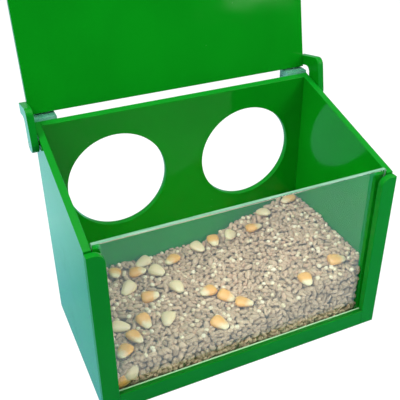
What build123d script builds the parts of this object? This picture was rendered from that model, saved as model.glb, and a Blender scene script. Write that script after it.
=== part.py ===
from build123d import *
import math
import os

# A pigeon feeder cut from glossy plastic sheet: an open-topped bin whose tall back has two
# round head holes, a clear window that lifts out of a channel at the front, and a lid that
# swings back on two hooked ears and leans on clear stop blocks. Feed lies in the bin.
# Millimetres. X runs across, -Y is the window side, Z is up. The origin is the middle of
# the base, on the surface that the feeder stands on.

# Box
box_width = 200.0
box_depth = 110.0
front_height = 120.0
rear_height = 150.0
sheet_thickness = 4.5

# Head holes in the back
head_hole_diameter = 70.5
head_hole_spacing = 98.4
head_hole_height = 97.5

# Window frame at the front
stile_width = 10.5
stile_corner_radius = 6.0
rail_height = 12.5
window_thickness = 3.0
window_height = 119.2
channel_play = 0.6
window_side_play = 0.5
guide_top_drop = 3.0

# Lid and its hinge
lid_lean = 11.5
lid_seat_gap = 0.3
lid_swing_gap = 1.0
hinge_setback = 7.0
hinge_depth = 9.0
hinge_reach = 16.3
pin_diameter = 3.5
pin_bite = 3.2
pin_end_gap = 0.3
pin_running_gap = 0.06
pin_chamfer = 0.4

# Ears that carry the lid
ear_gap = 0.6
ear_arm_start = 1.0
ear_arm_width = 7.0
ear_leg_front = 19.5
ear_throat = 7.9
ear_pin_wall = 4.2
ear_shoulder_radius = 5.0
ear_toe_radius = 6.0
ear_heel_radius = 4.0
ear_throat_radius = 4.0

# Stop blocks behind the back panel
stop_block_width = 15.5
stop_block_height = 12.0
stop_block_lip = 2.0
stop_gap = 0.3

# Small edge breaks
edge_break = 0.4

# Feed
feed_level = 29.0
feed_rise = 22.0
feed_rise_start = -2.0
feed_rise_end = 88.0
feed_front_share = 0.8
feed_front_fade = 20.0
feed_lump = 1.6
feed_lump_width = 44.0
feed_lump_depth = 65.0
feed_lump_middle = 35.0
feed_gap = 0.3
feed_sections = 8
feed_points = 17

# Maize kernels lying in the feed
kernel_length = 12.6
kernel_width = 9.6
kernel_tip_width = 4.8
kernel_crown_width = 6.8
kernel_belly_offset = 1.2
kernel_thickness = 4.8
kernel_chamfer = 1.2
kernel_stand = 0.7
kernel_wall_gap = 0.5

# Worked out from the values above
front_y = -box_depth / 2
rear_y = box_depth / 2
side_inner_x = box_width / 2 - sheet_thickness
stile_inner_x = box_width / 2 - stile_width
top_slope = math.atan((rear_height - front_height) / box_depth)
stile_rear_y = front_y + sheet_thickness
window_front_y = stile_rear_y + channel_play
window_rear_y = window_front_y + window_thickness
guide_front_y = window_rear_y + channel_play
guide_rear_y = guide_front_y + sheet_thickness
back_front_y = rear_y - sheet_thickness


def top_height(y):
    """Height of the sloping top edge of the box at y."""
    return front_height + (y - front_y) * math.tan(top_slope)


# The sloping top plane of the box, its normal pointing up and out
roof = Plane(
    origin=(0, front_y, front_height),
    x_dir=(1, 0, 0),
    z_dir=(0, -math.sin(top_slope), math.cos(top_slope)),
)

# Hinge axis: far enough under the top edge for the closed lid to lie just above it
hinge_y = rear_y - hinge_setback
hinge_z = top_height(hinge_y) - hinge_depth / math.cos(top_slope)
lid_offset = hinge_depth + lid_seat_gap

# The lid as it stands open, leaning back: along runs up the lid, inward towards the window
lean = math.radians(lid_lean)
lid_along = Vector(0, math.sin(lean), math.cos(lean))
lid_inward = Vector(0, -math.cos(lean), math.sin(lean))
lid_foot = Vector(0, hinge_y, hinge_z) + lid_along * hinge_reach - lid_inward * lid_offset
lid_heel = lid_foot - lid_inward * sheet_thickness
lid_closing_angle = 90 + lid_lean + math.degrees(top_slope)

# The lid's free edge swings past the raised window with a little room
lid_swing_radius = hinge_y - window_rear_y - lid_swing_gap
lid_length = math.sqrt(lid_swing_radius**2 - (lid_offset + sheet_thickness) ** 2) - hinge_reach
lid_width = box_width + 2 * ear_gap


def lid_plane(x):
    """A plane across the hinge, whose X runs inward from the lid and Y along it."""
    return Plane(
        origin=(x, lid_foot.Y, lid_foot.Z), x_dir=lid_inward, z_dir=(-1, 0, 0)
    )


def finish(part, name):
    """Label a finished piece and write it out."""
    part.label = name
    export_step(part, f"parts/{name}.step")


os.makedirs("parts", exist_ok=True)

# Floor panel, between the sides and behind the bottom rail
with BuildPart() as floor_panel:
    with BuildSketch(Plane.XY):
        with Locations((0, (stile_rear_y + back_front_y) / 2)):
            Rectangle(2 * side_inner_x, back_front_y - stile_rear_y)
    extrude(amount=sheet_thickness)
finish(floor_panel.part, "floor_panel")

# Back panel with two round head holes, its top cut to the slope of the sides
with BuildPart() as back_panel:
    with BuildSketch(Plane.XZ.offset(-rear_y)):
        with Locations((0, rear_height / 2)):
            Rectangle(2 * side_inner_x, rear_height)
        with Locations(
            (-head_hole_spacing / 2, head_hole_height), (head_hole_spacing / 2, head_hole_height)
        ):
            Circle(head_hole_diameter / 2, mode=Mode.SUBTRACT)
    extrude(amount=sheet_thickness)
    split(bisect_by=roof, keep=Keep.BOTTOM)
finish(back_panel.part, "back_panel")


def side_panel(side):
    """A side with a sloping top, and a blind hole for the hinge pin in its outer face."""
    outer_x = side * box_width / 2
    with BuildPart() as panel:
        with BuildSketch(Plane.YZ.offset(min(outer_x, side * side_inner_x))):
            with BuildLine():
                Polyline(
                    (stile_rear_y, 0),
                    (rear_y, 0),
                    (rear_y, rear_height),
                    (stile_rear_y, top_height(stile_rear_y)),
                    close=True,
                )
            make_face()
        extrude(amount=sheet_thickness)
        with BuildSketch(Plane.YZ.offset(outer_x)):
            with Locations((hinge_y, hinge_z)):
                Circle(pin_diameter / 2)
        extrude(amount=-side * (pin_bite + pin_end_gap), mode=Mode.SUBTRACT)
    return panel.part


def front_stile(side):
    """An upright glued over a side's front edge, with its inner top corner rounded."""
    inner_x = side * stile_inner_x
    outer_x = side * box_width / 2
    with BuildPart() as stile:
        with BuildSketch(Plane.XZ.offset(-stile_rear_y)):
            with Locations(((inner_x + outer_x) / 2, front_height / 2)):
                Rectangle(stile_width, front_height)
        extrude(amount=sheet_thickness)
        inner_edges = stile.edges().filter_by(Axis.Y).group_by(Axis.Z)[-1]
        fillet(inner_edges.sort_by(Axis.X)[0 if side > 0 else -1], stile_corner_radius)
    return stile.part


def window_guide(side):
    """The strip behind the window that keeps it in its channel."""
    top = top_height(guide_front_y) - guide_top_drop
    middle_x = side * (side_inner_x + stile_inner_x) / 2
    middle_y = (guide_front_y + guide_rear_y) / 2
    with BuildPart() as guide:
        with BuildSketch(Plane.XY.offset(sheet_thickness)):
            with Locations((middle_x, middle_y)):
                Rectangle(side_inner_x - stile_inner_x, sheet_thickness)
        extrude(amount=top - sheet_thickness)
        top_edges = guide.faces().sort_by(Axis.Z)[-1].edges()
        chamfer(top_edges.filter_by(Axis.Y).sort_by(Axis.X)[0 if side > 0 else -1], edge_break)
    return guide.part


def round_corner(sketch, corner, radius):
    """Round the corner of a flat outline that lies at the given point of its own plane."""
    fillet(sketch.vertices().sort_by_distance((*corner, 0))[0], radius)


def lid_ear(side):
    """A hooked ear: an arm over the lid's side edge and a leg that hangs down to the pin."""
    inner_x = side * (box_width / 2 + ear_gap)
    arm_end = ear_arm_start + ear_arm_width
    shoulder = (ear_leg_front, arm_end)
    toe = (ear_leg_front, -hinge_reach - ear_pin_wall)
    heel = (lid_offset - ear_pin_wall, -hinge_reach - ear_pin_wall)
    throat = (ear_throat, ear_arm_start)
    with BuildPart() as ear:
        with BuildSketch(lid_plane(max(inner_x, inner_x + side * sheet_thickness))) as outline:
            with BuildLine():
                Polyline(
                    (-sheet_thickness, ear_arm_start),
                    (-sheet_thickness, arm_end),
                    shoulder,
                    toe,
                    heel,
                    throat,
                    close=True,
                )
            make_face()
            round_corner(outline, shoulder, ear_shoulder_radius)
            round_corner(outline, toe, ear_toe_radius)
            round_corner(outline, heel, ear_heel_radius)
            round_corner(outline, throat, ear_throat_radius)
            with Locations((lid_offset, -hinge_reach)):
                Circle(pin_diameter / 2 + pin_running_gap, mode=Mode.SUBTRACT)
        extrude(amount=sheet_thickness)
    return ear.part


def hinge_pin(side):
    """A plain pin, fixed in the side panel and turning in the ear."""
    outer_x = box_width / 2 + ear_gap + sheet_thickness
    inner_x = box_width / 2 - pin_bite
    with BuildPart() as pin:
        with BuildSketch(Plane.YZ.offset(-outer_x if side < 0 else inner_x)):
            with Locations((hinge_y, hinge_z)):
                Circle(pin_diameter / 2)
        extrude(amount=outer_x - inner_x)
        chamfer(pin.edges().filter_by(GeomType.CIRCLE), pin_chamfer)
    return pin.part


def stop_block(side):
    """A block on the back panel's outer face, under the open lid's lower edge."""
    block_depth = lid_heel.Y - rear_y + stop_block_lip
    top = lid_heel.Z - stop_gap
    with BuildPart() as block:
        with BuildSketch(Plane.XY.offset(top - stop_block_height)):
            with Locations((side * (box_width - stop_block_width) / 2, rear_y + block_depth / 2)):
                Rectangle(stop_block_width, block_depth)
        extrude(amount=stop_block_height)
        chamfer(block.faces().sort_by(Axis.Y)[-1].edges(), edge_break)
    return block.part


for side_name, side in (("left", -1), ("right", 1)):
    finish(side_panel(side), f"{side_name}_side_panel")
    finish(front_stile(side), f"{side_name}_front_stile")
    finish(window_guide(side), f"{side_name}_window_guide")
    finish(lid_ear(side), f"{side_name}_lid_ear")
    finish(hinge_pin(side), f"{side_name}_hinge_pin")
    finish(stop_block(side), f"{side_name}_stop_block")

# Bottom rail between the stiles
with BuildPart() as front_bottom_rail:
    with BuildSketch(Plane.XZ.offset(-stile_rear_y)):
        with Locations((0, rail_height / 2)):
            Rectangle(2 * stile_inner_x, rail_height)
    extrude(amount=sheet_thickness)
    rail_top = front_bottom_rail.faces().sort_by(Axis.Z)[-1]
    chamfer(rail_top.edges().filter_by(Axis.X), edge_break)
finish(front_bottom_rail.part, "front_bottom_rail")

# Clear window, standing on the floor between the stiles and the guides
with BuildPart() as front_window:
    with BuildSketch(Plane.XY.offset(sheet_thickness)):
        with Locations((0, (window_front_y + window_rear_y) / 2)):
            Rectangle(2 * (side_inner_x - window_side_play), window_thickness)
    extrude(amount=window_height)
    window_top = front_window.faces().sort_by(Axis.Z)[-1]
    chamfer(window_top.edges().filter_by(Axis.X), edge_break)
finish(front_window.part, "front_window")

# Lid, standing open
with BuildPart() as lid_panel:
    with BuildSketch(lid_plane(lid_width / 2)):
        with Locations((-sheet_thickness / 2, lid_length / 2)):
            Rectangle(sheet_thickness, lid_length)
    extrude(amount=lid_width)
    free_edge = lid_panel.faces().sort_by(Axis.Z)[-1]
    chamfer(free_edge.edges().filter_by(Axis.X), edge_break)
finish(lid_panel.part, "lid_panel")


def smooth_step(start, end, value):
    """0 before start, 1 after end, and a smooth slope between."""
    share = min(max((value - start) / (end - start), 0), 1)
    return share * share * (3 - 2 * share)


feed_front_y = window_rear_y + feed_gap
feed_rear_y = back_front_y - feed_gap
feed_middle_y = (feed_front_y + feed_rear_y) / 2
feed_side_x = side_inner_x - feed_gap


def feed_height(x, y):
    """Height of the feed: level on the left, heaped to the right and the back, and lumpy."""
    front_share = smooth_step(0, feed_front_fade, y - feed_front_y)
    heap = feed_front_share + (1 - feed_front_share) * front_share
    across = math.cos(math.tau * (x - feed_lump_middle) / feed_lump_width)
    along = math.cos(math.tau * (y - feed_rear_y) / feed_lump_depth)
    rise = feed_rise * heap * smooth_step(feed_rise_start, feed_rise_end, x)
    return feed_level + rise + feed_lump * across * along


# One maize kernel: a flat tooth-shaped grain, its tip towards -X
with BuildPart() as kernel:
    with BuildSketch():
        with BuildLine():
            Polyline(
                (-kernel_length / 2, kernel_tip_width / 2),
                (kernel_belly_offset, kernel_width / 2),
                (kernel_length / 2, kernel_crown_width / 2),
                (kernel_length / 2, 0),
            )
            mirror(about=Plane.XZ)
            Line(
                (-kernel_length / 2, kernel_tip_width / 2),
                (-kernel_length / 2, -kernel_tip_width / 2),
            )
        make_face()
    extrude(amount=kernel_thickness)
    chamfer(kernel.faces().filter_by(Axis.Z).edges(), kernel_chamfer)

# Kernels on the feed. Each is given by its place, as shares of the way from the middle to the
# side wall and to the back wall, and by its turn.
kernel_spots = (
    (-0.44, 0.98, 20), (-0.52, 0.76, 160), (-0.70, 0.88, 75), (-0.66, 0.43, 35),
    (-0.53, 0.07, 165), (-0.30, 0.09, 95), (-0.11, -0.25, 15), (0.01, -0.47, 130),
    (0.10, -0.73, 145), (-0.67, -0.47, 100), (-0.51, -0.57, 60), (-0.78, -0.71, 110),
    (-0.91, -0.95, 45), (-0.16, -0.97, 120), (0.54, 0.72, 170), (0.21, 0.97, 80),
    (0.34, 0.86, 50), (0.94, 0.97, 20), (0.70, 0.95, 100), (0.87, -0.87, 165),
    (0.57, -0.94, 80), (-0.21, 0.82, 30), (-0.84, -0.38, 150), (-0.98, 0.43, 95),
    (0.07, 0.98, 110), (-0.37, 0.62, 120),
)
kernel_reach_x = feed_side_x - kernel_length / 2 - kernel_wall_gap
kernel_reach_y = feed_rear_y - feed_middle_y - kernel_length / 2 - kernel_wall_gap

with BuildPart() as maize_kernels:
    for across, along, turn in kernel_spots:
        x = across * kernel_reach_x
        y = feed_middle_y + along * kernel_reach_y
        seat_z = feed_height(x, y) + kernel_stand - kernel_thickness / 2
        with Locations(Location((x, y, seat_z), (0, 0, turn))):
            add(kernel.part)
finish(maize_kernels.part, "maize_kernels")

# Bed of small grain, with a pocket round each kernel
with BuildPart() as feed_bed:
    for section in range(feed_sections):
        y = feed_front_y + (feed_rear_y - feed_front_y) * section / (feed_sections - 1)
        with BuildSketch(Plane.XZ.offset(-y)):
            with BuildLine():
                xs = [feed_side_x * (2 * i / (feed_points - 1) - 1) for i in range(feed_points)]
                crest = Spline(*[(x, feed_height(x, y)) for x in xs])
                Polyline(
                    crest @ 1,
                    (feed_side_x, sheet_thickness),
                    (-feed_side_x, sheet_thickness),
                    crest @ 0,
                )
            make_face()
    loft()
    guide_room_y = (feed_front_y + guide_rear_y) / 2
    for guide_room_x in (-box_width / 2, box_width / 2):
        with Locations((guide_room_x, guide_room_y, front_height / 2)):
            Box(
                2 * (stile_width + feed_gap),
                guide_rear_y - feed_front_y + 2 * feed_gap,
                front_height,
                mode=Mode.SUBTRACT,
            )
    add(maize_kernels.part, mode=Mode.SUBTRACT)
finish(feed_bed.part, "feed_bed")

print(f"hinge axis y {hinge_y:.3f} z {hinge_z:.3f}")
print(f"lid closes by {lid_closing_angle:.2f} degrees, length {lid_length:.2f}")
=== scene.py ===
"""Dresses the pigeon feeder: glossy green sheet, a clear window, clear stop blocks, and the
feed in its bin as loose grains, seeds and maize kernels. Metres, in the frame of the part."""

import math

import bmesh
import bpy
import numpy as np
from bpy.props import FloatProperty, FloatVectorProperty, IntProperty, PointerProperty
from mathutils import Matrix, Vector
from mathutils.bvhtree import BVHTree


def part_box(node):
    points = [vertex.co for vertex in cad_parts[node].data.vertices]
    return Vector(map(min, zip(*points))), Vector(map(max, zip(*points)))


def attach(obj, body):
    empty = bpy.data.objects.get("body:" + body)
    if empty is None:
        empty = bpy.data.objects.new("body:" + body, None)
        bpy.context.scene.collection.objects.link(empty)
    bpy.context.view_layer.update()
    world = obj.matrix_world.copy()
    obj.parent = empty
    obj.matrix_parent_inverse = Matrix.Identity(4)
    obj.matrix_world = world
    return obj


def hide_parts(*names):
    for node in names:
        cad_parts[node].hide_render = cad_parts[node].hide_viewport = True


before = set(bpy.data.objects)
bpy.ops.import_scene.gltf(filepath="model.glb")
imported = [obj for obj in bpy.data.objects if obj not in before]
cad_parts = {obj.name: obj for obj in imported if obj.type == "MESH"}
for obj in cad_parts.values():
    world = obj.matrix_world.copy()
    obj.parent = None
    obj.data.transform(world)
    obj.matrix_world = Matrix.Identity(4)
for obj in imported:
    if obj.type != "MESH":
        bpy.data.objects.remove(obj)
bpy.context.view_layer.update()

bl_info = {
    "name": "Pigeon Feeder Dresser",
    "version": (1, 0, 0),
    "blender": (4, 5, 0),
    "location": "View3D > Sidebar > Feeder",
    "description": "Finishes a pigeon feeder and fills its bin with feed",
    "category": "Object",
}

MM = 0.001
WHITE = (1, 1, 1)

# Refractive index of the sheet, green and clear
SHEET_IOR = 1.49
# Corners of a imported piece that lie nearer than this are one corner
ONE_CORNER = 0.005 * MM

# Pieces by material. A sheet's letter is the axis that its flat faces look along.
BIN_SHEETS = {
    "floor_panel": "Z",
    "back_panel": "Y",
    "left_side_panel": "X",
    "right_side_panel": "X",
    "left_front_stile": "Y",
    "right_front_stile": "Y",
    "front_bottom_rail": "Y",
    "left_window_guide": "Y",
    "right_window_guide": "Y",
}
LID_SHEETS = {"lid_panel": "Y", "left_lid_ear": "X", "right_lid_ear": "X"}
STOP_BLOCKS = ("left_stop_block", "right_stop_block")
HINGE_PINS = ("left_hinge_pin", "right_hinge_pin")

# Shapes of the feed, in lengths of half a grain, seed or kernel: (place along, share of the width)
GRAIN_PROFILE = ((-1, 0), (-0.82, 0.56), (-0.25, 1), (0.4, 0.93), (0.88, 0.5), (1, 0))
SEED_PROFILE = ((-1, 0), (-0.81, 0.59), (-0.31, 0.95), (0.31, 0.95), (0.81, 0.59), (1, 0))
KERNEL_PROFILE = (
    (-1, 0), (-0.98, 0.3), (-0.84, 0.5), (-0.48, 0.72), (-0.1, 0.9), (0.28, 1),
    (0.62, 0.99), (0.86, 0.85), (0.98, 0.56), (0.95, 0.26), (0.9, 0),
)
GRAIN_SIDES, SEED_SIDES, KERNEL_SIDES = 6, 8, 14
# Exponent of a kernel's section: 2 is round, and more is squarer
KERNEL_SECTION = 2.6

# How the feed varies: spread of grain sizes, shares of whole grains and of small seeds, and
# the rest in shares of the size that the user sets, some as the least and the most
GRAIN_SIZE_SCATTER = 0.12
WHOLE_GRAINS = 0.5
BROKEN_LENGTHS = (0.45, 0.8)
GRAIN_WIDTHS = (0.8, 1.15)
GRAIN_THICKNESS = 0.8
SMALL_SEEDS = 0.88
SMALL_SEED_SIZES = (0.75, 1.2)
LARGE_SEED_SIZE = 1.6
SEED_WIDTHS = (0.85, 1)
SEED_THICKNESS = 0.85

# How far grains and kernels lie turned out of true, in radians
GRAIN_ROLL = 0.25
KERNEL_TILT = 0.12

# The husk's tones: place on the ramp, and share of the husk's red, green and blue
HUSK_TONES = (
    (0, (0.76, 0.74, 0.72)),
    (0.3, (0.94, 0.93, 0.92)),
    (0.62, (1.08, 1.08, 1.08)),
    (0.88, (1.2, 1.22, 1.26)),
    (1, (1.04, 0.91, 0.88)),
)

# A kernel's tone goes from 0, orange, to 1, cream all over
ORANGE_TONES = (0, 0.6)
CREAM_TONES = (0.78, 1)
# Kernels that are cream all over, counted from the left, then of those at the window
CREAM_KERNELS = (2, 6, 9, 10, 11, 12, 17, 20, 23)
CREAM_GLASS_KERNELS = (0,)

# Kernels pressed upright against the window: share of the way to the guide, height over the
# rail, and turn in the plane of the window
GLASS_KERNELS = ((-0.872, 6 * MM, math.radians(245)), (-0.93, 1.5 * MM, math.radians(190)))

# Soft lamps: name, place, point looked at, width in metres, power in watts
LAMPS = (
    ("top_softbox", (0, 0, 0.95), (0, 0, 0.1), 0.6, 3.2),
    ("left_softbox", (-0.7, -0.2, 1), (0, 0, 0.1), 0.5, 8.2),
    ("right_softbox", (0.5, -0.25, 0.85), (0, 0, 0.1), 0.4, 0.9),
    ("near_softbox", (0.36, -0.34, 0.36), (0.08, 0, 0.12), 0.25, 1.15),
)
# Where the floor's colours run into each other, along Y, before and behind the feeder
FRONT_FLOOR_ENDS = (-0.045, -0.025)
FAR_FLOOR_STARTS = (0.07, 0.17)
# The framing of the photograph, in widths of the picture
CAMERA_SHIFT = (-0.0079, -0.0319)


# Sizes and colours that a user would change

COLOR = {"subtype": "COLOR", "min": 0, "max": 1}
LENGTH = {"subtype": "DISTANCE", "unit": "LENGTH"}
SHARE = {"subtype": "FACTOR", "min": 0, "max": 1}


class SheetLook(bpy.types.PropertyGroup):
    """Finish of the green sheet."""

    color: FloatVectorProperty(
        name="Sheet colour",
        description="Colour of the green sheet",
        default=(0.002, 0.28, 0.007),
        **COLOR,
    )
    edge_color: FloatVectorProperty(
        name="Cut edge colour",
        description="Colour of the sawn edges of the green sheet",
        default=(0.002, 0.25, 0.012),
        **COLOR,
    )
    # The bottom rail's sawn edges take a darker green than the other sheets' edges.
    rail_top_color: FloatVectorProperty(
        name="Rail top colour",
        description="Colour of the bottom rail's sawn edges, dulled by handling",
        default=(0.002, 0.14, 0.008),
        **COLOR,
    )
    # Painted highlight: a pale line along the rear of the rail's top edge, standing for light
    # caught on that edge.
    painted_highlight_color: FloatVectorProperty(
        name="Window rub colour",
        description="Colour of the line that the window has rubbed along the rail's top edge",
        default=(0.36, 0.62, 0.34),
        **COLOR,
    )
    roughness: FloatProperty(
        name="Sheet roughness",
        description="Roughness of the polished faces where they are clean",
        default=0.07,
        **SHARE,
    )
    edge_radius: FloatProperty(
        name="Edge wear",
        description="How far the corners of the sheets are worn round",
        default=0.35 * MM,
        **LENGTH,
    )


class ClearLook(bpy.types.PropertyGroup):
    """Finish of the clear window and stop blocks."""

    edge_color: FloatVectorProperty(
        name="Window edge colour",
        description="Colour of the window's cut edges",
        default=(0.15, 0.4, 0.23),
        **COLOR,
    )
    block_color: FloatVectorProperty(
        name="Block colour",
        description="Colour of the clear stop blocks",
        default=(0.1, 0.46, 0.28),
        **COLOR,
    )
    edge_radius: FloatProperty(
        name="Window edge wear",
        description="How far the window's corners are worn round",
        default=0.2 * MM,
        **LENGTH,
    )


class FeedLook(bpy.types.PropertyGroup):
    """Sizes and colours of the feed."""

    grain_length: FloatProperty(
        name="Grain length",
        description="Length of a whole husked grain",
        default=7.2 * MM,
        **LENGTH,
    )
    grain_width: FloatProperty(
        name="Grain width",
        description="Width of a whole husked grain",
        default=4.0 * MM,
        **LENGTH,
    )
    seed_diameter: FloatProperty(
        name="Seed diameter",
        description="Diameter of a round pale seed",
        default=4.0 * MM,
        **LENGTH,
    )
    grain_share: FloatProperty(
        name="Share of grains",
        description="Share of husked grains in the loose feed; the rest is seeds",
        default=0.8,
        **SHARE,
    )
    grain_stand: FloatProperty(
        name="Grain stand",
        description="How far a loose grain may stand over the level that it fills",
        default=1.3 * MM,
        **LENGTH,
    )
    top_seeds: IntProperty(
        name="Seeds on top",
        description="How many round seeds lie on the loose feed",
        min=0,
        default=190,
    )
    layer_depth: FloatProperty(
        name="Loose layer",
        description="Depth of the loose grain over the packed feed",
        default=3.6 * MM,
        **LENGTH,
    )
    sink: FloatProperty(
        name="Loose layer sink",
        description="How far the loose layer is filled short of the feed's surface",
        default=1.0 * MM,
        **LENGTH,
    )
    husk_color: FloatVectorProperty(
        name="Husk colour",
        description="Middle colour of the husked grain",
        default=(0.6, 0.415, 0.275),
        **COLOR,
    )
    seed_color: FloatVectorProperty(
        name="Seed colour",
        description="Colour of the round pale seeds",
        default=(0.97, 0.82, 0.62),
        **COLOR,
    )
    maize_color: FloatVectorProperty(
        name="Maize colour",
        description="Colour of a maize kernel's body",
        default=(0.86, 0.43, 0.11),
        **COLOR,
    )
    maize_tip_color: FloatVectorProperty(
        name="Maize tip colour",
        description="Colour of a maize kernel's tip",
        default=(0.84, 0.68, 0.43),
        **COLOR,
    )
    scatter_seed: IntProperty(
        name="Scatter seed",
        description="Number that the feed's random places start from",
        min=0,
        default=17,
    )


class StageLook(bpy.types.PropertyGroup):
    """Floor, light and camera."""

    floor_color: FloatVectorProperty(
        name="Floor colour",
        description="Pale colour of the floor, which shows in the gloss",
        default=(0.2, 0.58, 0.74),
        **COLOR,
    )
    front_floor_color: FloatVectorProperty(
        name="Front floor colour",
        description="Colour of the floor before the feeder, which shows in its window",
        default=(0.16, 0.54, 0.8),
        **COLOR,
    )
    far_floor_color: FloatVectorProperty(
        name="Far floor colour",
        description="Paler colour of the floor behind the feeder, which shows in its sides",
        default=(0.42, 0.88, 1.0),
        **COLOR,
    )
    gloss_strength: FloatProperty(
        name="Floor in gloss",
        description="How bright the floor is in gloss",
        min=0,
        max=5,
        default=1.5,
    )
    shadow_share: FloatProperty(
        name="Floor shadow",
        description="Share of the floor's look that follows the light",
        default=0.18,
        **SHARE,
    )
    gloss_shadow_share: FloatProperty(
        name="Floor shadow in gloss",
        description="Share of the floor's look in gloss that follows the light",
        default=0.5,
        **SHARE,
    )
    camera_place: FloatVectorProperty(
        name="Camera place",
        description="Where the camera stands",
        subtype="TRANSLATION",
        unit="LENGTH",
        default=(-0.1536, -0.3218, 0.3246),
    )
    camera_turn: FloatVectorProperty(
        name="Camera turn",
        description="Compass turn, tilt below the horizon and roll of the camera",
        subtype="EULER",
        unit="ROTATION",
        default=(math.radians(24.305), math.radians(31.354), math.radians(0.348)),
    )
    lens: FloatProperty(
        name="Lens",
        description="Focal length on a sensor 36 mm wide, in millimetres",
        min=10,
        max=300,
        default=58.08,
    )


# Node trees


def new_material(name):
    """An empty material: (material, node tree, places on the piece in metres)."""
    material = bpy.data.materials.new(name)
    material.use_nodes = True
    tree = material.node_tree
    tree.nodes.clear()
    return material, tree, put(tree, "TexCoord")["Object"]


def show(owner, surface, kind="Material"):
    """Let a material, or the world, show a surface. Returns the material."""
    put(owner.node_tree, "Output" + kind, Surface=surface)
    return owner


def put(tree, kind, settings=None, **inputs):
    """Add a node with settings of its own, and inputs by value or link. Returns its outputs."""
    node = tree.nodes.new("ShaderNode" + kind)
    for name, value in (settings or {}).items():
        setattr(node, name, value)
    for name, value in inputs.items():
        socket = find_input(node, name)
        if isinstance(value, bpy.types.NodeSocket):
            tree.links.new(value, socket)
        else:
            socket.default_value = (*value, 1) if socket.type == "RGBA" else value
    return node.outputs


def find_input(node, name):
    """The input of a node by its name written with underscores, or by its number as in_1."""
    if name.startswith("in_"):
        return node.inputs[int(name[3:])]
    words = name.replace("_", " ").lower()
    return next(s for s in node.inputs if s.name.lower() == words and s.enabled)


def principled(tree, **inputs):
    """A principled surface."""
    return put(tree, "BsdfPrincipled", **inputs)[0]


def mix_surfaces(tree, share, first, second):
    """A surface that goes from first to second with share."""
    return put(tree, "MixShader", in_0=share, in_1=first, in_2=second)[0]


def blend_colors(tree, share, first, second, how="MIX"):
    """A colour that goes with share from first to second, or to the two multiplied."""
    settings = {"data_type": "RGBA", "blend_type": how}
    mix = put(tree, "Mix", settings, Factor=share, A=first, B=second)
    return next(s for s in mix if s.enabled)


def rescale(tree, value, low, high, to_low=0, to_high=1):
    """Value moved from one range to another, and clamped there."""
    ranges = {"From_Min": low, "From_Max": high, "To_Min": to_low, "To_Max": to_high}
    return put(tree, "MapRange", Value=value, **ranges)["Result"]


def calculate(tree, operation, first, second=0):
    """The result of a sum on two values or sockets."""
    return put(tree, "Math", {"operation": operation}, in_0=first, in_1=second)[0]


def noise(tree, where, scale, detail=3, roughness=0.5):
    """Noise at the given places, of so many cells a metre, as a value."""
    inputs = {"Scale": scale, "Detail": detail, "Roughness": roughness}
    return put(tree, "TexNoise", Vector=where, **inputs)[0]


def cells(tree, where, scale):
    """Distance to the middle of a cell, of so many cells a metre."""
    return put(tree, "TexVoronoi", Vector=where, Scale=scale)["Distance"]


def bump(tree, height, depth, strength=1, over=None):
    """A bump of the given depth in metres, over another one."""
    under = {} if over is None else {"Normal": over}
    return put(tree, "Bump", Height=height, Distance=depth, Strength=strength, **under)[0]


def stretched(tree, where, x, y, z):
    """Places stretched by a factor along each axis."""
    return put(tree, "Mapping", Vector=where, Scale=(x, y, z))[0]


def own_value(tree, name):
    """A value that the mesh carries at its points."""
    return put(tree, "Attribute", {"attribute_name": name})["Fac"]


def shade(color, *factors):
    """A colour darkened or lightened by a factor for red, green and blue."""
    return tuple(part * factor for part, factor in zip(color, factors))


# Materials


def cut_edge_mask(tree, axis):
    """1 on the sawn edges of a sheet whose flat faces look along axis, and 0 on its faces."""
    edge_facing, face_facing = 0.55, 0.75
    split = put(tree, "SeparateXYZ", Vector=put(tree, "TexCoord")["Normal"])
    facing = calculate(tree, "ABSOLUTE", split[axis])
    return rescale(tree, facing, edge_facing, face_facing, 1, 0)


def painted_highlight_line(tree, where):
    """1 along the rear of the rail's top edge, where a pale highlight is painted, and 0 elsewhere.
    """
    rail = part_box("front_bottom_rail")[1]
    width, depth, fade = 1.3 * MM, 0.4 * MM, 0.3 * MM
    place = put(tree, "SeparateXYZ", Vector=where)
    rear = rescale(tree, place["Y"], rail.y - width - fade, rail.y - width)
    top = rescale(tree, place["Z"], rail.z - depth - fade, rail.z - depth)
    return calculate(tree, "MULTIPLY", rear, top)


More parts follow.
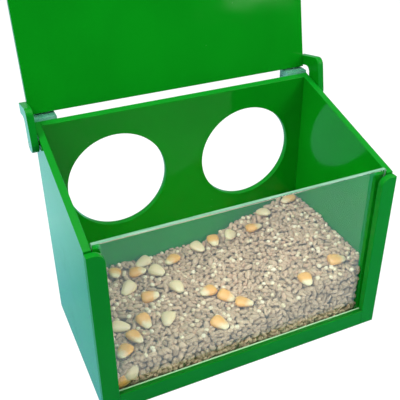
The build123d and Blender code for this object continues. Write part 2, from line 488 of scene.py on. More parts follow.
def green_sheet(axis, is_rail=False):
    """Glossy green sheet: faint waves, smudges, hairline scratches, dust and sawn edges."""
    look = bpy.context.scene.feeder_sheet
    name = "green_rail_sheet" if is_rail else f"green_sheet_{axis.lower()}"
    material, tree, where = new_material(name)
    edge = cut_edge_mask(tree, axis)

    cloud = rescale(tree, noise(tree, where, 18, 2), 0.35, 0.65)
    tone = blend_colors(tree, cloud, shade(look.color, 0.88, 0.88, 0.88), look.color)
    sawn = look.rail_top_color if is_rail else look.edge_color
    faced = blend_colors(tree, edge, tone, sawn)
    # On the bottom rail: a painted highlight line along the rear of its top edge.
    if is_rail:
        faced = blend_colors(tree, painted_highlight_line(tree, where), faced, look.painted_highlight_color)

    patches = rescale(tree, noise(tree, where, 22, 2), 0.6, 0.72)
    speck = rescale(tree, cells(tree, where, 150), 0.035, 0.05, 1, 0)
    dust = calculate(tree, "MULTIPLY", speck, patches)
    color = blend_colors(tree, calculate(tree, "MULTIPLY", dust, 0.55), faced, (0.6, 0.72, 0.6))

    smudge = rescale(tree, noise(tree, where, 38, 4, 0.6), 0.45, 0.75, 0, 0.1)
    hairs = noise(tree, stretched(tree, where, 40, 900, 340), 1, 2)
    scratch = rescale(tree, hairs, 0.66, 0.74)
    clean = calculate(tree, "ADD", smudge, look.roughness)
    rough_face = calculate(tree, "ADD", clean, calculate(tree, "MULTIPLY", scratch, 0.06))
    rough_edge = calculate(tree, "MULTIPLY", edge, 0.22)

    saw = noise(tree, stretched(tree, where, 700, 700, 700), 1, 1)
    saw_marks = calculate(tree, "MULTIPLY", saw, edge)
    waves = bump(tree, noise(tree, where, 13, 1), 0.12 * MM)
    lines = bump(tree, scratch, 0.004 * MM, 0.4, waves)
    surface = principled(
        tree,
        Base_Color=color,
        Roughness=calculate(tree, "ADD", rough_face, rough_edge),
        IOR=SHEET_IOR,
        Specular_IOR_Level=0.12,
        Normal=bump(tree, saw_marks, 0.05 * MM, 0.6, lines),
    )
    return show(material, surface)


def clear_window_sheet():
    """Clear sheet with polished faces, faint rubs, and pale cut edges, pale partly from the frosted
    saw cut and partly from painted glow.
    """
    look = bpy.context.scene.feeder_clear
    material, tree, where = new_material("clear_window_sheet")

    rubs = rescale(tree, noise(tree, stretched(tree, where, 300, 1, 60), 1), 0.5, 0.8)
    glass = principled(
        tree,
        Base_Color=(0.93, 0.99, 0.97),
        Roughness=rescale(tree, rubs, 0, 1, 0.01, 0.05),
        IOR=SHEET_IOR,
        Transmission_Weight=1,
        Normal=bump(tree, noise(tree, where, 16, 1), 0.05 * MM),
    )
    lamp_ray = put(tree, "LightPath")["Is Shadow Ray"]
    open_to_lamps = put(tree, "BsdfTransparent", Color=(0.9, 0.97, 0.94))[0]
    pane = mix_surfaces(tree, lamp_ray, glass, open_to_lamps)

    saw = noise(tree, where, 900, 2)
    streaks = noise(tree, stretched(tree, where, 60, 900, 60), 1, 3)
    pale = rescale(tree, streaks, 0.4, 0.65)
    # The cut edges' pale colour: partly the frosted saw cut, partly painted glow of light carried
    # along the sheet.
    cut = principled(
        tree,
        Base_Color=blend_colors(tree, pale, look.edge_color, (0.3, 0.54, 0.38)),
        Roughness=rescale(tree, saw, 0.3, 0.7, 0.25, 0.5),
        IOR=SHEET_IOR,
        Normal=bump(tree, saw, 0.03 * MM, 0.5),
    )
    return show(material, mix_surfaces(tree, cut_edge_mask(tree, "Y"), pane, cut))


def clear_block_sheet():
    """Thick clear off-cut with dulled sawn faces, and a painted green tint that stands for the
    green around it, seen in and through the block.
    """
    look = bpy.context.scene.feeder_clear
    material, tree, where = new_material("clear_stop_block")
    saw = noise(tree, stretched(tree, where, 120, 120, 1400), 1, 2)
    cloud = rescale(tree, noise(tree, where, 160, 3), 0.35, 0.7)
    # Painted reflection: the block's green tint stands for the green sheets around it.
    surface = principled(
        tree,
        Base_Color=blend_colors(tree, cloud, look.block_color, (0.26, 0.62, 0.46)),
        Roughness=rescale(tree, saw, 0.3, 0.7, 0.12, 0.4),
        IOR=SHEET_IOR,
        Transmission_Weight=0.55,
        Normal=bump(tree, saw, 0.03 * MM, 0.5),
    )
    return show(material, surface)


def drawn_wire():
    """Drawn steel wire with fine rings and a little tarnish."""
    material, tree, where = new_material("drawn_wire")
    rings = noise(tree, stretched(tree, where, 4000, 200, 200), 1, 2)
    tarnish = rescale(tree, noise(tree, where, 700, 3), 0.5, 0.75)
    surface = principled(
        tree,
        Base_Color=blend_colors(tree, tarnish, (0.62, 0.62, 0.6), (0.33, 0.3, 0.26)),
        Metallic=1,
        Roughness=rescale(tree, rings, 0.3, 0.7, 0.22, 0.42),
        Normal=bump(tree, rings, 0.01 * MM),
    )
    return show(material, surface)


def husked_grain():
    """Dry husked grain: each one has its own tone, dark blotches and fine ribs."""
    look = bpy.context.scene.feeder_feed
    material, tree, where = new_material("husked_grain")
    tone = put(tree, "ValToRGB", Fac=own_value(tree, "tone"))[0]
    elements = tone.node.color_ramp.elements
    for place, _ in HUSK_TONES[1:-1]:
        elements.new(place)
    for element, (_, factors) in zip(elements, HUSK_TONES):
        element.color = (*shade(look.husk_color, *factors), 1)
    blotch = rescale(tree, noise(tree, where, 900, 3), 0.3, 0.75)
    dark = calculate(tree, "MULTIPLY", blotch, 0.5)
    ribs = noise(tree, where, 2600, 2)
    surface = principled(
        tree,
        Base_Color=blend_colors(tree, dark, tone, (0.6, 0.55, 0.5), "MULTIPLY"),
        Roughness=rescale(tree, ribs, 0.3, 0.7, 0.5, 0.75),
        Specular_IOR_Level=0.35,
        Normal=bump(tree, ribs, 0.12 * MM, 0.6),
    )
    return show(material, surface)


def pale_seed():
    """Small round seeds, from white to straw, satin and faintly mottled."""
    look = bpy.context.scene.feeder_feed
    material, tree, where = new_material("pale_seed")
    straw = shade(look.seed_color, 0.85, 0.78, 0.66)
    base = blend_colors(tree, own_value(tree, "tone"), straw, look.seed_color)
    mottle = rescale(tree, noise(tree, where, 1500, 2), 0.35, 0.7)
    dark = calculate(tree, "MULTIPLY", mottle, 0.3)
    surface = principled(
        tree,
        Base_Color=blend_colors(tree, dark, base, (0.42, 0.33, 0.22)),
        Roughness=rescale(tree, mottle, 0, 1, 0.32, 0.5),
        Normal=bump(tree, mottle, 0.05 * MM, 0.4),
    )
    return show(material, surface)


def maize_skin():
    """Waxy kernel skin: an orange or cream body, and a cream tip."""
    look = bpy.context.scene.feeder_feed
    material, tree, where = new_material("maize_skin")
    wander = rescale(tree, noise(tree, where, 260, 2), 0.3, 0.7, -0.12, 0.12)
    place = calculate(tree, "ADD", own_value(tree, "along"), wander)
    tip = rescale(tree, place, 0.14, 0.46, 1, 0)
    pale_body = tuple(0.15 * a + 0.85 * b for a, b in zip(look.maize_color, look.maize_tip_color))
    pale = rescale(tree, own_value(tree, "tone"), 0.5, 0.8)
    body = blend_colors(tree, pale, look.maize_color, pale_body)
    fibre = noise(tree, where, 1100, 3)
    surface = principled(
        tree,
        Base_Color=blend_colors(tree, tip, body, look.maize_tip_color),
        Roughness=rescale(tree, fibre, 0.3, 0.7, 0.26, 0.42),
        Subsurface_Weight=0.15,
        Subsurface_Radius=(2.0 * MM, 1.0 * MM, 0.4 * MM),
        Subsurface_Scale=0.5,
        Coat_Weight=0.15,
        Coat_Roughness=0.2,
        Normal=bump(tree, fibre, 0.05 * MM, 0.5),
    )
    return show(material, surface)


def packed_feed():
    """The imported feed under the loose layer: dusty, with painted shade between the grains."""
    material, tree, where = new_material("packed_feed")
    lump = cells(tree, where, 330)
    # Painted shade: the colour darkens towards the rims of the cells, between the grains.
    deep = rescale(tree, lump, 0.1, 0.6)
    surface = principled(
        tree,
        Base_Color=blend_colors(tree, deep, (0.66, 0.48, 0.33), (0.42, 0.3, 0.2)),
        Roughness=0.9,
        Specular_IOR_Level=0.2,
        Normal=bump(tree, lump, 1.0 * MM, 0.8),
    )
    return show(material, surface)


# Meshes


def soften_edges(piece, radius):
    """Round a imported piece's corners a little, as wear and polishing do."""
    weld = piece.modifiers.new("joined_corners", "WELD")
    weld.merge_threshold = ONE_CORNER
    flat = piece.modifiers.new("whole_faces", "DECIMATE")
    flat.decimate_type = "DISSOLVE"
    flat.angle_limit = math.radians(0.5)
    worn = piece.modifiers.new("worn_edges", "BEVEL")
    worn.width = radius
    worn.segments = 2
    worn.limit_method = "ANGLE"
    worn.angle_limit = math.radians(35)
    worn.harden_normals = True


def give_material(piece, material):
    """Put a material in the piece's slot."""
    piece.data.materials.clear()
    piece.data.materials.append(material)


def new_piece(name, mesh, material):
    """A piece of the scene from a mesh."""
    piece = bpy.data.objects.new(name, mesh)
    bpy.context.scene.collection.objects.link(piece)
    give_material(piece, material)
    return piece


def turned_form(profile, sides, exponent=2):
    """A closed form along X from a profile, with its section a superellipse: (points, faces)."""
    points, faces, rings = [], [], []
    for place, share in profile:
        count = sides if share else 1
        rings.append([len(points) + side % count for side in range(sides)])
        for side in range(count):
            angle = math.tau * (side + 0.5) / sides
            across, up = math.cos(angle), math.sin(angle)
            reach = share * (abs(across) ** exponent + abs(up) ** exponent) ** (-1 / exponent)
            points.append((place, reach * across, reach * up))
    for first, second in zip(rings, rings[1:]):
        for side in range(sides):
            after = (side + 1) % sides
            loop = (first[side], first[after], second[after], second[side])
            faces.append(tuple(dict.fromkeys(loop)))
    return np.array(points), faces


def strewn_piece(name, form, spots, material):
    """One piece of many copies of a form, each given by (place, turn, half sizes, tone)."""
    shape, faces = form
    points, all_faces, tones = [], [], []
    for place, turn, half, tone in spots:
        start = len(points) * len(shape)
        points.append(shape * half @ turn.T + place)
        all_faces += [[start + corner for corner in face] for face in faces]
        tones.append(tone)
    mesh = bpy.data.meshes.new(name)
    mesh.from_pydata(np.concatenate(points).tolist(), [], all_faces)
    write_value(mesh, "tone", np.repeat(tones, len(shape)))
    write_value(mesh, "along", np.tile((shape[:, 0] + 1) / 2, len(spots)))
    mesh.shade_smooth()
    piece = new_piece(name, mesh, material)
    return piece


def write_value(mesh, name, values):
    """Keep a value at each point of a mesh."""
    attribute = mesh.attributes.new(name, "FLOAT", "POINT")
    attribute.data.foreach_set("value", np.asarray(values, np.float32))


# The heap of feed


def ray_target(node):
    """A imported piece's faces, ready to be met by rays."""
    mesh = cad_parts[node].data
    corners = [corner.co for corner in mesh.vertices]
    return BVHTree.FromPolygons(corners, [face.vertices for face in mesh.polygons])


def turn_matrix(heading, pitch, roll):
    """Rotation of a form: rolled about its length, pitched up, then turned about the height."""
    spin = Matrix.Rotation(heading, 3, "Z") @ Matrix.Rotation(-pitch, 3, "Y")
    return np.array(spin @ Matrix.Rotation(roll, 3, "X"))


class Heap:
    """A grid of heights that loose grains settle on, one by one, up to a wanted level."""

    cell = 0.5 * MM
    tries = 10  # spots that are compared to find a low one
    foot_share = 0.7  # where a form rests near its ends, in half lengths
    pitch_scatter = 0.06
    steepest = math.radians(16)
    rim = 0.02  # how much of a form's thin rim isn't counted
    settle_share = 0.82  # share of the ground under a form that it clears
    most_sunk = 1.3 * MM  # how far a roof may press it down from there

    def __init__(self, low, high, floor, wanted, blocked):
        """Floor gives the heights to start from, and wanted the level to fill and the roof."""
        self.low, self.high = np.array(low), np.array(high)
        shape = [int((b - a) / self.cell) for a, b in zip(low, high)]
        across, along = np.meshgrid(*[np.arange(n) * self.cell for n in shape], indexing="ij")
        self.xs = low[0] + across
        self.ys = low[1] + along
        self.height = floor(self.xs, self.ys)
        self.level, self.roof = wanted(self.xs, self.ys)
        self.open = ~blocked(self.xs, self.ys)
        self.spots = np.argwhere(self.open)

    def at(self, x, y):
        """Height of the heap at a point."""
        i = min(max(int((x - self.low[0]) / self.cell), 0), self.height.shape[0] - 1)
        j = min(max(int((y - self.low[1]) / self.cell), 0), self.height.shape[1] - 1)
        return self.height[i, j]

    def lack(self, i, j):
        """How far a spot, or each of many, lies under the wanted level."""
        return self.level[i, j] - self.height[i, j]

    def lowest_spot(self, rng):
        """The spot furthest under the wanted level, of a few random ones: (i, j)."""
        chosen = self.spots[rng.integers(0, len(self.spots), self.tries)]
        return tuple(chosen[np.argmax(self.lack(*chosen.T))])

    def close(self, i, j):
        """Take a spot off the list of those that need feed."""
        self.height[i, j] = max(self.height[i, j], self.level[i, j])

    def inside_walls(self, i, j, heading, half):
        """The nearest place to a spot where a form of that heading clears the walls."""
        step = np.array((math.cos(heading), math.sin(heading)))
        reach = np.hypot(half[0] * step, half[1] * step[::-1])
        place = np.array((self.xs[i, j], self.ys[i, j]))
        return np.clip(place, self.low + reach, self.high - reach)

    def drop(self, rng, half, heading, x, y):
        """Settle a form of the given half sizes at x, y: (place, pitch), or None."""
        step = np.array((math.cos(heading), math.sin(heading)))
        reach = self.foot_share * half[0]
        rise = self.at(x + step[0] * reach, y + step[1] * reach)
        fall = self.at(x - step[0] * reach, y - step[1] * reach)
        pitch = math.atan2(rise - fall, 2 * reach) + rng.normal(0, self.pitch_scatter)
        pitch = min(max(pitch, -self.steepest), self.steepest)
        size = max(half[0], half[1]) + self.cell
        part = self.stretch(x, size, 0), self.stretch(y, size, 1)
        dx, dy = self.xs[part] - x, self.ys[part] - y
        along = (dx * step[0] + dy * step[1]) / math.cos(pitch)
        across = dy * step[0] - dx * step[1]
        inside = 1 - (along / half[0]) ** 2 - (across / half[1]) ** 2
        under = inside > self.rim
        if under.sum() < 2 or not self.open[part][under].all():
            return None
        thick = half[2] * np.sqrt(inside[under])
        slope = along[under] * math.sin(pitch)
        heights = self.height[part]
        settled = float(np.quantile(heights[under] + thick - slope, self.settle_share))
        highest = float((self.roof[part][under] - thick - slope).min())
        if settled - highest > self.most_sunk:
            return None
        middle = min(settled, highest)
        heights[under] = np.maximum(heights[under], middle + slope + thick)
        return np.array((x, y, middle)), pitch

    def stretch(self, value, size, axis):
        """The cells of a stretch about a value."""
        first = int((value - size - self.low[axis]) / self.cell)
        last = int((value + size - self.low[axis]) / self.cell) + 2
        return slice(max(first, 0), last)


def fill_heap(heap, rng, look):
    """Drop grains and seeds on a heap until it is level: {"grain": spots, "seed": spots}."""
    most_misses, most_grains = 500, 2600
    enough, seed_gap = 0.5 * MM, 1.7 * MM
    spots = {"grain": [], "seed": []}
    misses = 0
    while misses < most_misses and len(spots["grain"]) < most_grains:
        i, j = heap.lowest_spot(rng)
        lack = heap.lack(i, j)
        kind = "seed" if rng.random() > look.grain_share and lack < seed_gap else "grain"
        half = grain_half_sizes(rng, look) if kind == "grain" else seed_half_sizes(rng, look)
        heading = rng.uniform(0, math.tau)
        x, y = heap.inside_walls(i, j, heading, half)
        settled = heap.drop(rng, half, heading, x, y) if lack > enough else None
        heap.close(i, j)
        if settled is None:
            misses += 1
            continue
        misses = 0
        place, pitch = settled
        turn = turn_matrix(heading, pitch, rng.normal(0, GRAIN_ROLL))
        spots[kind].append((place, turn, half, rng.random()))
    spots["seed"] += roll_seeds(heap, rng, look)
    return spots


def roll_seeds(heap, rng, look):
    """Let round seeds roll into the dips of a filled heap, where it has room over it."""
    room, tries_each = 1.0 * MM, 20
    heap.roof = np.where(heap.roof - heap.level > room, heap.roof + room, heap.roof)
    spots = []
    for _ in range(tries_each * look.top_seeds):
        i, j = heap.spots[rng.integers(len(heap.spots))]
        half = seed_half_sizes(rng, look)
        heading = rng.uniform(0, math.tau)
        settled = heap.drop(rng, half, heading, *heap.inside_walls(i, j, heading, half))
        if settled is not None:
            turn = turn_matrix(heading, settled[1], 0)
            spots.append((settled[0], turn, half, rng.random()))
        if len(spots) == look.top_seeds:
            break
    return spots


def grain_half_sizes(rng, look):
    """Half sizes of a grain, whole or broken short."""
    size = rng.normal(1.0, GRAIN_SIZE_SCATTER)
    share = 1.0 if rng.random() < WHOLE_GRAINS else rng.uniform(*BROKEN_LENGTHS)
    length = look.grain_length * size * share
    width = look.grain_width * size * rng.uniform(*GRAIN_WIDTHS)
    return np.array((length, width, width * GRAIN_THICKNESS)) / 2


def seed_half_sizes(rng, look):
    """Half sizes of a round seed: most are small, and a few larger."""
    small = rng.random() < SMALL_SEEDS
    size = look.seed_diameter * (rng.uniform(*SMALL_SEED_SIZES) if small else LARGE_SEED_SIZE)
    return np.array((size, size * rng.uniform(*SEED_WIDTHS), size * SEED_THICKNESS)) / 2


def kernel_tone(rng, cream):
    """Tone of a cream or an orange kernel."""
    return rng.uniform(*(CREAM_TONES if cream else ORANGE_TONES))


def kernels_in_frame():
    """Place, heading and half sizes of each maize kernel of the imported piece."""
    form = bmesh.new()
    form.from_mesh(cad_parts["maize_kernels"].data)
    bmesh.ops.remove_doubles(form, verts=form.verts, dist=ONE_CORNER)
    left = set(form.verts)
    kernels = []
    while left:
        found = [left.pop()]
        for corner in found:  # found grows on the way, until the kernel is whole
            joined = {edge.other_vert(corner) for edge in corner.link_edges} & left
            found += joined
            left -= joined
        kernels.append(kernel_pose(np.array(sorted(corner.co[:] for corner in found))))
    form.free()
    return sorted(kernels, key=lambda k: tuple(k[0].round(4)))


def kernel_pose(corners):
    """Place, heading and half sizes of a kernel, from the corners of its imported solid."""
    middle = (corners.max(0) + corners.min(0)) / 2
    offsets = corners - middle
    flat = offsets[:, :2]
    _, axes = np.linalg.eigh(flat.T @ flat)
    length_axis = axes[:, 1]
    along = flat @ length_axis
    across = flat @ np.array((-length_axis[1], length_axis[0]))
    ends = along > 0
    if np.abs(across[ends]).max() < np.abs(across[~ends]).max():
        length_axis = -length_axis
    heading = math.atan2(length_axis[1], length_axis[0])
    half = np.array((np.ptp(along), np.ptp(across), np.ptp(offsets[:, 2]))) / 2
    return middle, heading, half


# Operators


class FEEDER_OT_finish_bin(bpy.types.Operator):
    """Finish the sheets of the bin"""

    bl_idname = "feeder.finish_bin"
    bl_label = "Finish Bin"

    def execute(self, context):
        finish_sheets(BIN_SHEETS, context.scene.feeder_sheet.edge_radius)
        return {"FINISHED"}


class FEEDER_OT_finish_lid(bpy.types.Operator):
    """Finish the lid and its ears"""

    bl_idname = "feeder.finish_lid"
    bl_label = "Finish Lid"

    def execute(self, context):
        finish_sheets(LID_SHEETS, context.scene.feeder_sheet.edge_radius)
        return {"FINISHED"}


def finish_sheets(sheets, edge_radius):
    """Give each green sheet its material and worn edges."""
    for name, axis in sheets.items():
        is_rail = name == "front_bottom_rail"
        ready = None if is_rail else bpy.data.materials.get(f"green_sheet_{axis.lower()}")
        dress((name,), ready or green_sheet(axis, is_rail), edge_radius)


def dress(names, material, edge_radius=0):
    """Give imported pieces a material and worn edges."""
    for name in names:
        give_material(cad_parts[name], material)
        if edge_radius:
            soften_edges(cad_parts[name], edge_radius)


class FEEDER_OT_finish_window(bpy.types.Operator):
    """Finish the clear window"""

    bl_idname = "feeder.finish_window"
    bl_label = "Finish Window"

    def execute(self, context):
        dress(("front_window",), clear_window_sheet(), context.scene.feeder_clear.edge_radius)
        return {"FINISHED"}


class FEEDER_OT_finish_stop_blocks(bpy.types.Operator):
    """Finish the clear blocks that the open lid rests on"""

    bl_idname = "feeder.finish_stop_blocks"
    bl_label = "Finish Stop Blocks"

    def execute(self, context):
        dress(STOP_BLOCKS, clear_block_sheet(), context.scene.feeder_clear.edge_radius)
        return {"FINISHED"}


class FEEDER_OT_finish_hinge_pins(bpy.types.Operator):
    """Finish the hinge pins"""

    bl_idname = "feeder.finish_hinge_pins"
    bl_label = "Finish Hinge Pins"

    def execute(self, context):
        dress(HINGE_PINS, drawn_wire())
        return {"FINISHED"}


class FEEDER_OT_pour_feed(bpy.types.Operator):
    """Fill the bin with packed feed, loose grains, seeds and maize kernels"""

    bl_idname = "feeder.pour_feed"
    bl_label = "Pour Feed"

    def execute(self, context):
        look = context.scene.feeder_feed
        rng = np.random.default_rng(look.scatter_seed)
        surface = FeedSurface()
        core = packed_core(surface, look.layer_depth)
        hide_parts("feed_bed")

        kernels = kernels_in_frame()
        top = fill_top(surface, kernels, rng, look)
        front = fill_front(surface, kernels[0][2], rng, look)
        pieces = [core]
        forms = {
            "grain": (turned_form(GRAIN_PROFILE, GRAIN_SIDES), husked_grain()),
            "seed": (turned_form(SEED_PROFILE, SEED_SIDES), pale_seed()),
        }
        for kind, (form, material) in forms.items():
            spots = top[kind] + front[kind]
            piece = strewn_piece(f"loose_{kind}s", form, spots, material)
            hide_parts("feed_bed")
            pieces.append(piece)
        spots = []
        for number, (place, heading, half) in enumerate(kernels):
            turn = turn_matrix(heading, *rng.normal(0, KERNEL_TILT, 2))
            spots.append((place, turn, half, kernel_tone(rng, number in CREAM_KERNELS)))
        form = turned_form(KERNEL_PROFILE, KERNEL_SIDES, KERNEL_SECTION)
        maize = strewn_piece("loose_maize", form, spots + front["kernel"], maize_skin())
        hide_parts("maize_kernels")
        for piece in (*pieces, maize):
            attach(piece, "housing")
        return {"FINISHED"}


class FeedSurface:
    """The feed's surface and room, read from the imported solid."""

    gap = 0.15 * MM  # between the feed and the sheets
    guide_gap = 0.3 * MM

    def __init__(self):
        self.low, self.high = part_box("feed_bed")
        self.rays = ray_target("feed_bed")
        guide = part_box("left_window_guide")[1]
        self.guide_x, self.guide_y = abs(guide.x), guide.y

    def height(self, x, y):
        """Height of the feed at one point."""
        above = Vector((x, y, self.high.z + MM))
        hit = self.rays.ray_cast(above, Vector((0, 0, -1)))[0]
        return self.low.z if hit is None else hit.z

    def heights(self, xs, ys):
        """Heights of the feed over a grid, from every fourth point of it."""
        step = 4
        coarse = np.vectorize(self.height)(xs[::step, ::step], ys[::step, ::step])
        return spread_grid(coarse, xs.shape, step)

    def behind_guides(self, xs, ys):
        """True where the window's guides stand."""
        beside = np.abs(xs) > self.guide_x - self.guide_gap
        return beside & (ys < self.guide_y + self.guide_gap)


def spread_grid(coarse, shape, step):
    """A coarse grid of heights drawn out to a fine one, by straight lines between its points."""
    for axis in (0, 1):
        at = np.arange(shape[axis]) / step
        first = np.minimum(at.astype(int), coarse.shape[axis] - 1)
        second = np.minimum(first + 1, coarse.shape[axis] - 1)
        share = (at - first).reshape((-1, 1) if axis == 0 else (1, -1))
        coarse = np.take(coarse, first, axis) * (1 - share) + np.take(coarse, second, axis) * share
    return coarse


def rim_of(rows):
    """The corners round the rim of a grid, in their order."""
    last = [row[-1] for row in rows]
    return [row[0] for row in rows] + rows[-1][1:] + last[-2::-1] + rows[0][-2:0:-1]


def packed_core(surface, depth):
    """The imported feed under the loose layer, as a closed solid that follows the surface."""
    step = 2 * MM
    low_x, high_x = surface.low.x + surface.gap, surface.high.x - surface.gap
    low_y, high_y = surface.low.y + depth, surface.high.y - surface.gap
    xs = np.linspace(low_x, high_x, int((high_x - low_x) / step))
    ys = np.linspace(low_y, high_y, int((high_y - low_y) / step))
    grid_x, grid_y = np.meshgrid(xs, ys, indexing="ij")
    top = np.array([[surface.height(x, y) for y in ys] for x in xs]) - depth
    top = np.where(top < surface.low.z, surface.low.z + depth, top)
    base = np.full_like(top, surface.low.z + surface.gap)
    form = bmesh.new()
    layers = []
    for heights in (top, base):
        places = np.stack((grid_x, grid_y, heights), -1)
        layers.append([[form.verts.new(p) for p in row] for row in places.tolist()])
    for i in range(len(xs) - 1):
        for j in range(len(ys) - 1):
            for layer, turned in zip(layers, (False, True)):
                loop = [layer[i][j], layer[i + 1][j], layer[i + 1][j + 1], layer[i][j + 1]]
                form.faces.new(loop[::-1] if turned else loop)
    upper, lower = (rim_of(layer) for layer in layers)
    for k in range(len(upper)):
        form.faces.new((upper[k - 1], lower[k - 1], lower[k], upper[k]))
    mesh = bpy.data.meshes.new("packed_feed")
    form.to_mesh(mesh)
    form.free()
    piece = new_piece("packed_feed", mesh, packed_feed())
    return piece


def lumps(xs, ys):
    """Waves about 20 mm long that wander through each other, from -1 to 1."""
    along = np.sin(xs * 310 + np.sin(ys * 170) * 2)
    return along * np.sin(ys * 270 + np.cos(xs * 190) * 2)


def fill_top(surface, kernels, rng, look):
    """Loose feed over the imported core, level with the feed's surface and under the kernels."""
    lump_height = 0.4 * MM
    seat_share, seat_gap = 0.7, 0.5 * MM
    low = (surface.low.x + surface.gap, surface.low.y + surface.gap)
    high = (surface.high.x - surface.gap, surface.high.y - surface.gap)

    def wanted(xs, ys):
        level = surface.heights(xs, ys) - look.sink + lump_height * lumps(xs, ys)
        roof = level + look.grain_stand
        for place, heading, half in kernels:
            under = in_footprint(xs, ys, place, heading, half)
            seat = place[2] - half[2] * seat_share
            level = np.where(under, seat - seat_gap, level)
            roof = np.where(under, seat, roof)
        return level, roof

    def ground(xs, ys):
        return surface.heights(xs, ys) - look.layer_depth

    return fill_heap(Heap(low, high, ground, wanted, surface.behind_guides), rng, look)


def fill_front(surface, half_kernel, rng, look):
    """Feed pressed against the window. Its heap lies on its back: X, then Z, then towards -Y."""
    below_rail, below_top = 5 * MM, 1.2 * MM
    glass_gap, behind_glass = 0.05 * MM, 2 * MM
    short_of_glass, kernel_share = 0.4 * MM, 0.9
    rail_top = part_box("front_bottom_rail")[1].z
    low = (-surface.guide_x + surface.gap, rail_top - below_rail)
    high = (surface.guide_x - surface.gap, surface.high.z)
    deep = -(surface.low.y + look.layer_depth)
    glass = -(surface.low.y + glass_gap)
    columns = np.arange(low[0], high[0], Heap.cell)
    top = np.array([surface.height(x, surface.low.y + behind_glass) for x in columns])
    kernels = [
        (np.array((across * surface.guide_x, rail_top + rise, glass - half_kernel[2])), heading)
        for across, rise, heading in GLASS_KERNELS
    ]

    def taken(xs, ys):
        row = np.minimum(((xs - low[0]) / Heap.cell).astype(int), len(top) - 1)
        blocked = ys > top[row] - below_top
        for place, heading in kernels:
            blocked |= in_footprint(xs, ys, place, heading, half_kernel * kernel_share)
        return blocked

    def wanted(xs, ys):
        return np.full_like(xs, glass - short_of_glass), np.full_like(xs, glass)

    heap = Heap(low, high, lambda xs, ys: np.full_like(xs, deep), wanted, taken)
    found = fill_heap(heap, rng, look)
    found["kernel"] = []
    for number, (place, heading) in enumerate(kernels):
        tone = kernel_tone(rng, number in CREAM_GLASS_KERNELS)
        found["kernel"].append((place, turn_matrix(heading, 0, 0), half_kernel, tone))
    stand_up = np.array(((1, 0, 0), (0, 0, -1), (0, 1, 0)), float)
    return {
        kind: [(stand_up @ place, stand_up @ turn, half, tone) for place, turn, half, tone in spots]
        for kind, spots in found.items()
    }


def in_footprint(xs, ys, place, heading, half):
    """True at the points that lie under a form of the given place, heading and half sizes."""
    dx, dy = xs - place[0], ys - place[1]
    along = dx * math.cos(heading) + dy * math.sin(heading)
    across = dy * math.cos(heading) - dx * math.sin(heading)
    return (along / half[0]) ** 2 + (across / half[1]) ** 2 < 1


class FEEDER_OT_set_stage(bpy.types.Operator):
    """Lay the floor, hang the lamps and set up the camera"""

    bl_idname = "feeder.set_stage"
    bl_label = "Set Stage"

    def execute(self, context):
        look = context.scene.feeder_stage
        lay_floor(look)
        light_world(context.scene)
        for lamp in LAMPS:
            hang_lamp(*lamp)
        set_camera(context.scene, look)
        context.scene.view_settings.view_transform = "Standard"
        return {"FINISHED"}


def seen_rays(tree):
    """(1 for rays that show the background straight or through glass, 1 for rays in gloss)."""
    rays = put(tree, "LightPath")
    seen = calculate(tree, "MAXIMUM", rays["Is Camera Ray"], rays["Is Transmission Ray"])
    return seen, rays["Is Glossy Ray"]


def shadowed_glow(tree, color, share, strength):
    """A colour that glows by itself, with a share of it left to light and shadow."""
    lit = put(tree, "BsdfDiffuse", Color=color)[0]
    glow = put(tree, "Emission", Color=color, Strength=strength)[0]
    return mix_surfaces(tree, share, glow, lit)


def lay_floor(look):
    """A wide pale floor: white where it is seen, and its own colour in light and gloss."""
    reach, seen_strength = 4, 1.1
    corners = [(-reach, -reach, 0), (reach, -reach, 0), (reach, reach, 0), (-reach, reach, 0)]
    mesh = bpy.data.meshes.new("floor")
    mesh.from_pydata(corners, [], [(0, 1, 2, 3)])
    material, tree, where = new_material("pale_floor")
    floor = new_piece("floor", mesh, material)
    back = put(tree, "SeparateXYZ", Vector=where)["Y"]
    near = rescale(tree, back, *FRONT_FLOOR_ENDS, 1, 0)
    middle = blend_colors(tree, near, look.floor_color, look.front_floor_color)
    far = rescale(tree, back, *FAR_FLOOR_STARTS)
    plain = blend_colors(tree, far, middle, look.far_floor_color)
    grain = rescale(tree, noise(tree, where, 30), 0.3, 0.7, 0, 0.05)
    paper = blend_colors(tree, grain, plain, WHITE)
    matt = put(tree, "BsdfDiffuse", Color=paper)[0]
    gloss = shadowed_glow(tree, paper, look.gloss_shadow_share, look.gloss_strength)
    white = shadowed_glow(tree, WHITE, look.shadow_share, seen_strength)
    seen, in_gloss = seen_rays(tree)
    show(material, mix_surfaces(tree, seen, mix_surfaces(tree, in_gloss, matt, gloss), white))


def light_world(scene):
    """A pale sky, darker on the window side, and white where it is seen."""
    world = bpy.data.worlds.new("studio")
    scene.world = world
    world.use_nodes = True
    tree = world.node_tree
    tree.nodes.clear()
    heading = put(tree, "SeparateXYZ", Vector=put(tree, "TexCoord")["Generated"])
    window_side, overhead = 0.06, 0.5
    strength = rescale(tree, heading["Y"], -0.8, 0, window_side, overhead)
    sky = put(tree, "Background", Color=(0.86, 0.95, 1), Strength=strength)[0]
    white = put(tree, "Background", Color=WHITE)[0]
    show(world, mix_surfaces(tree, seen_rays(tree)[0], sky, white), "World")


def hang_lamp(name, place, aim, size, power):
    """A square soft lamp that looks at a point."""
    lamp = bpy.data.lights.new(name, "AREA")
    lamp.size = size
    lamp.energy = power
    stand = bpy.data.objects.new(name, lamp)
    stand.location = place
    stand.visible_camera = False
    stand.rotation_mode = "QUATERNION"
    stand.rotation_quaternion = (Vector(aim) - Vector(place)).to_track_quat("-Z", "Y")
    bpy.context.scene.collection.objects.link(stand)


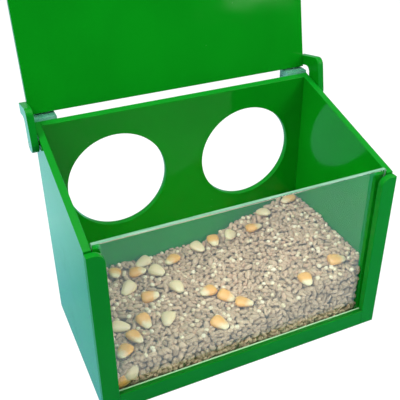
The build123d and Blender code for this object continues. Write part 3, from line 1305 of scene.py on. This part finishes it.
def set_camera(scene, look):
    """A camera at the photograph's place, turned from looking along +Y."""
    lens = bpy.data.cameras.new("camera")
    lens.lens = look.lens
    lens.sensor_width = 36
    lens.shift_x, lens.shift_y = CAMERA_SHIFT
    lens.clip_start = 0.01
    camera = bpy.data.objects.new("camera", lens)
    compass, tilt, roll = look.camera_turn
    turn = Matrix.Rotation(-compass, 4, "Z") @ Matrix.Rotation(math.pi / 2 - tilt, 4, "X")
    camera.matrix_world = (
        Matrix.Translation(look.camera_place) @ turn @ Matrix.Rotation(-roll, 4, "Z")
    )
    scene.collection.objects.link(camera)
    scene.camera = camera


class FEEDER_PT_panel(bpy.types.Panel):
    """The feeder's sizes, colours and steps"""

    bl_idname = "FEEDER_PT_panel"
    bl_label = "Pigeon Feeder"
    bl_space_type = "VIEW_3D"
    bl_region_type = "UI"
    bl_category = "Feeder"

    def draw(self, context):
        for group in LOOKS:
            box = self.layout.box()
            look = getattr(context.scene, group)
            for name in look.bl_rna.properties.keys():
                if name not in ("rna_type", "name"):
                    box.prop(look, name)
        for operator in OPERATORS:
            self.layout.operator(operator.bl_idname)


LOOKS = {
    "feeder_sheet": SheetLook,
    "feeder_clear": ClearLook,
    "feeder_feed": FeedLook,
    "feeder_stage": StageLook,
}
OPERATORS = (
    FEEDER_OT_finish_bin,
    FEEDER_OT_finish_lid,
    FEEDER_OT_finish_window,
    FEEDER_OT_finish_stop_blocks,
    FEEDER_OT_finish_hinge_pins,
    FEEDER_OT_pour_feed,
    FEEDER_OT_set_stage,
)
CLASSES = (*LOOKS.values(), *OPERATORS, FEEDER_PT_panel)


def register():
    """Add the add-on's classes and its looks to Blender."""
    for kind in CLASSES:
        bpy.utils.register_class(kind)
    for name, group in LOOKS.items():
        setattr(bpy.types.Scene, name, PointerProperty(type=group))


def unregister():
    """Take the add-on's looks and classes away again."""
    for name in LOOKS:
        delattr(bpy.types.Scene, name)
    for kind in reversed(CLASSES):
        bpy.utils.unregister_class(kind)


def main():
    """Dress the whole feeder."""
    register()
    bpy.ops.feeder.finish_bin()
    bpy.ops.feeder.finish_lid()
    bpy.ops.feeder.finish_window()
    bpy.ops.feeder.finish_stop_blocks()
    bpy.ops.feeder.finish_hinge_pins()
    bpy.ops.feeder.pour_feed()
    bpy.ops.feeder.set_stage()


if __name__ == "__main__":
    main()
